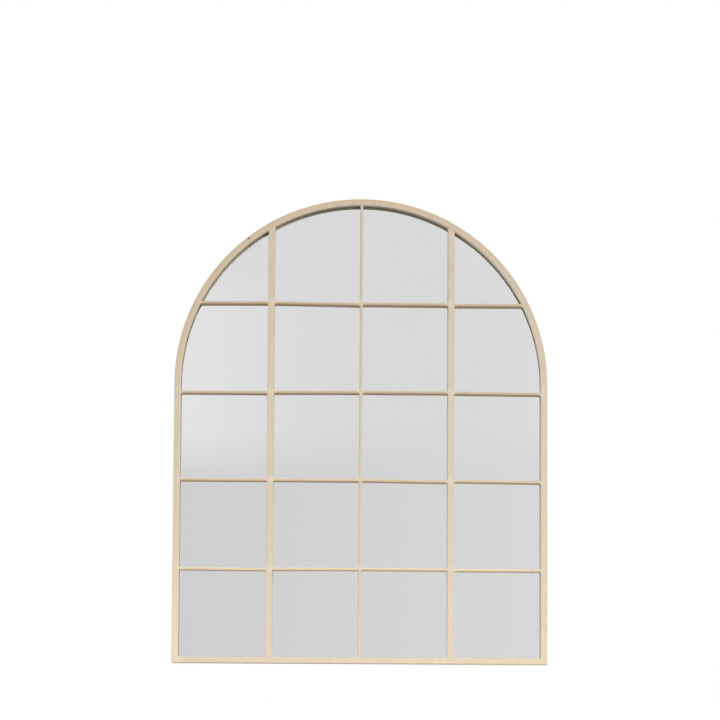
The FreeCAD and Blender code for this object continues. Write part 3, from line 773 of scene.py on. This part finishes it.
# The floor: its tones, and how far from the mirror's foot one passes into the next. The tone that
# it bounces holds a painted pool of light before the mirror and a painted shadow strip under it.
FLOOR_HEIGHT = -1.0
FLOOR_SIZE = (60, 60)
FLOOR_PALE = (0.5, 0.5, 0.5)
FLOOR_CLOUDS = 0.03
FLOOR_ROUGHNESS = 0.8
FLOOR_GLOW = (0.4, 0.4, 0.4)
FLOOR_FAR_GLOW = (0.78, 0.78, 0.78)
GLOW_REACH = (1.5, 7.0)
FLOOR_MIRROR_GLOW = (0.58, 0.58, 0.58)
FLOOR_FAR_MIRROR_GLOW = (0.76, 0.76, 0.76)
MIRROR_GLOW_REACH = (1.0, 6.5)
FLOOR_LIT_POOL = (0.72, 0.69, 0.65)
FLOOR_FAR = (0.12, 0.12, 0.12)
BOUNCE_REACH = (0.5, 1.7)
FLOOR_PAINTED_SHADOW = (0.04, 0.04, 0.04)
UNDER_REACH = (0.1, 0.16)

# The wall glows: WALL_GLOW is the light it gives, and for the mirror it glows in painted greys,
# lower and upper, with a painted bright patch on the left
WALL_PLACE = -12.0
WALL_SIZE = (34, 14)
WALL_GLOW = (0.5, 0.5, 0.5)
WALL_ACROSS = (-1.15, 1.2)
WALL_LOWER = ((0.0, 0.80), (0.3, 0.822), (1.0, 0.875))
WALL_UPPER = ((0.0, 0.90), (0.3, 0.892), (0.82, 0.89), (1.0, 0.92))
WALL_CHANGE = (0.50, 0.78)
LIGHT_PATCH_TONE = (0.98, 0.98, 0.98)
PATCH_PLACES = (-1.3, 0.0)
PATCH_ACROSS = ((0.0, 0.0), (0.15, 1.0), (0.28, 1.0), (0.4, 0.75), (0.57, 0.43), (0.78, 0.2), (1.0, 0.0))
PATCH_HEIGHTS = (0.4, 1.9)
PATCH_UP = ((0.0, 0.0), (0.23, 1.0), (0.7, 1.0), (1.0, 0.0))

ROOM_GLOW = 0.5
LAMPS = (("front_lamp", Vector((1.9, -6.5, 2.6)), 352), ("rear_lamp", Vector((2.6, 6.2, 3.0)), 240))
LAMP_SIZE = 3.0
LAMP_AIM = Vector((0, 0, -0.4))


def stage_plane(name, location, size, tilt=0.0):
    """Adds a flat piece of the studio that isn't part of the mirror."""
    deselect_all()
    bpy.ops.mesh.primitive_plane_add(size=1, location=location, rotation=(tilt, 0, 0))
    plane = bpy.context.object
    plane.name = name
    plane.scale = (*size, 1)
    apply_place(plane)
    return plane


def ray_kinds(tree):
    """Gives the kinds of ray, and a mask of the three that look rather than light."""
    paths = tree.nodes.new("ShaderNodeLightPath").outputs
    looking = math_of(tree, "MAXIMUM", paths["Is Camera Ray"], paths["Is Glossy Ray"])
    return paths, math_of(tree, "MAXIMUM", looking, paths["Is Transmission Ray"])


floor = stage_plane("studio_floor", (0, 0, FLOOR_HEIGHT), FLOOR_SIZE)
floor_paint, tree, shader, place = new_material("studio_floor")
surface = surface_of(tree, place, patch_scale=0.8, speck_scale=90.0)
paths, looking = ray_kinds(tree)
from_foot = distance_of(tree, stretched(tree, place, (1.0, 1.0, 0.0)))
behind_foot = math_of(tree, "ABSOLUTE", axes_of(tree, place)["Y"])
# Painted light and shadow in the bounced light only: a bright pool round the foot, dark far off, and a dark
# strip right under the mirror.
painted_bounce = blend_of(tree, map_of(tree, from_foot, *BOUNCE_REACH), FLOOR_LIT_POOL, FLOOR_FAR)
painted_bounce = blend_of(tree, map_of(tree, behind_foot, *UNDER_REACH), FLOOR_PAINTED_SHADOW, painted_bounce)
tone = blend_of(tree, looking, painted_bounce, FLOOR_PALE)
tone = blend_of(tree, paths["Is Glossy Ray"], tone, BLACK)
tone = blend_of(tree, spread(tree, surface["Patches"], 0, FLOOR_CLOUDS), tone, BLACK)
# The floor glows, though it is no lamp: more with distance for the eye, and in its own greys for the mirror.
floor_glow = blend_of(tree, map_of(tree, from_foot, *GLOW_REACH), FLOOR_GLOW, FLOOR_FAR_GLOW)
mirror_glow = blend_of(tree, map_of(tree, from_foot, *MIRROR_GLOW_REACH), FLOOR_MIRROR_GLOW, FLOOR_FAR_MIRROR_GLOW)
floor_glow = blend_of(tree, paths["Is Glossy Ray"], floor_glow, mirror_glow)
feed(tree, tone, shader.inputs["Base Color"])
feed(tree, blend_of(tree, looking, BLACK, floor_glow), shader.inputs["Emission Color"])
shader.inputs["Emission Strength"].default_value = 1.0
shader.inputs["Roughness"].default_value = FLOOR_ROUGHNESS
floor.data.materials.append(floor_paint)

wall = stage_plane("studio_wall", (0, WALL_PLACE, FLOOR_HEIGHT + WALL_SIZE[1] / 2), WALL_SIZE, math.pi / 2)
wall_paint, tree, shader, place = new_material("studio_wall")
tree.nodes.remove(shader)
glow = tree.nodes.new("ShaderNodeEmission")
feed(tree, glow.outputs["Emission"], tree.nodes["Material Output"].inputs["Surface"])
x, y, z = axes_of(tree, place)
paths, looking = ray_kinds(tree)
on_wall = map_of(tree, x, *WALL_ACROSS)
mirror_glow = blend_of(tree, map_of(tree, z, *WALL_CHANGE), ramp_of(tree, on_wall, WALL_LOWER),
                    ramp_of(tree, on_wall, WALL_UPPER))
# A painted bright patch on the left of the wall, seen only in the mirror.
light_patch = overlap(tree, ramp_of(tree, map_of(tree, x, *PATCH_PLACES), PATCH_ACROSS),
                ramp_of(tree, map_of(tree, z, *PATCH_HEIGHTS), PATCH_UP))
mirror_glow = blend_of(tree, light_patch, mirror_glow, LIGHT_PATCH_TONE)
tone = blend_of(tree, looking, WALL_GLOW, WHITE)
tone = blend_of(tree, paths["Is Glossy Ray"], tone, mirror_glow)
feed(tree, tone, glow.inputs["Color"])
wall.data.materials.append(wall_paint)

world = bpy.data.worlds.new("studio_air")
bpy.context.scene.world = world
world.use_nodes = True
tree = world.node_tree
paths, looking = ray_kinds(tree)
air = tree.nodes["Background"]
feed(tree, spread(tree, looking, ROOM_GLOW, 1.0), air.inputs["Strength"])
feed(tree, WHITE, air.inputs["Color"])

for name, place, power in LAMPS:
    data = bpy.data.lights.new(name, "AREA")
    data.shape = "SQUARE"
    data.size = LAMP_SIZE
    data.energy = power
    lamp = bpy.data.objects.new(name, data)
    bpy.context.scene.collection.objects.link(lamp)
    lamp.location = place
    lamp.rotation_euler = (LAMP_AIM - place).to_track_quat("-Z", "Y").to_euler()

bpy.context.scene.view_settings.view_transform = "Standard"
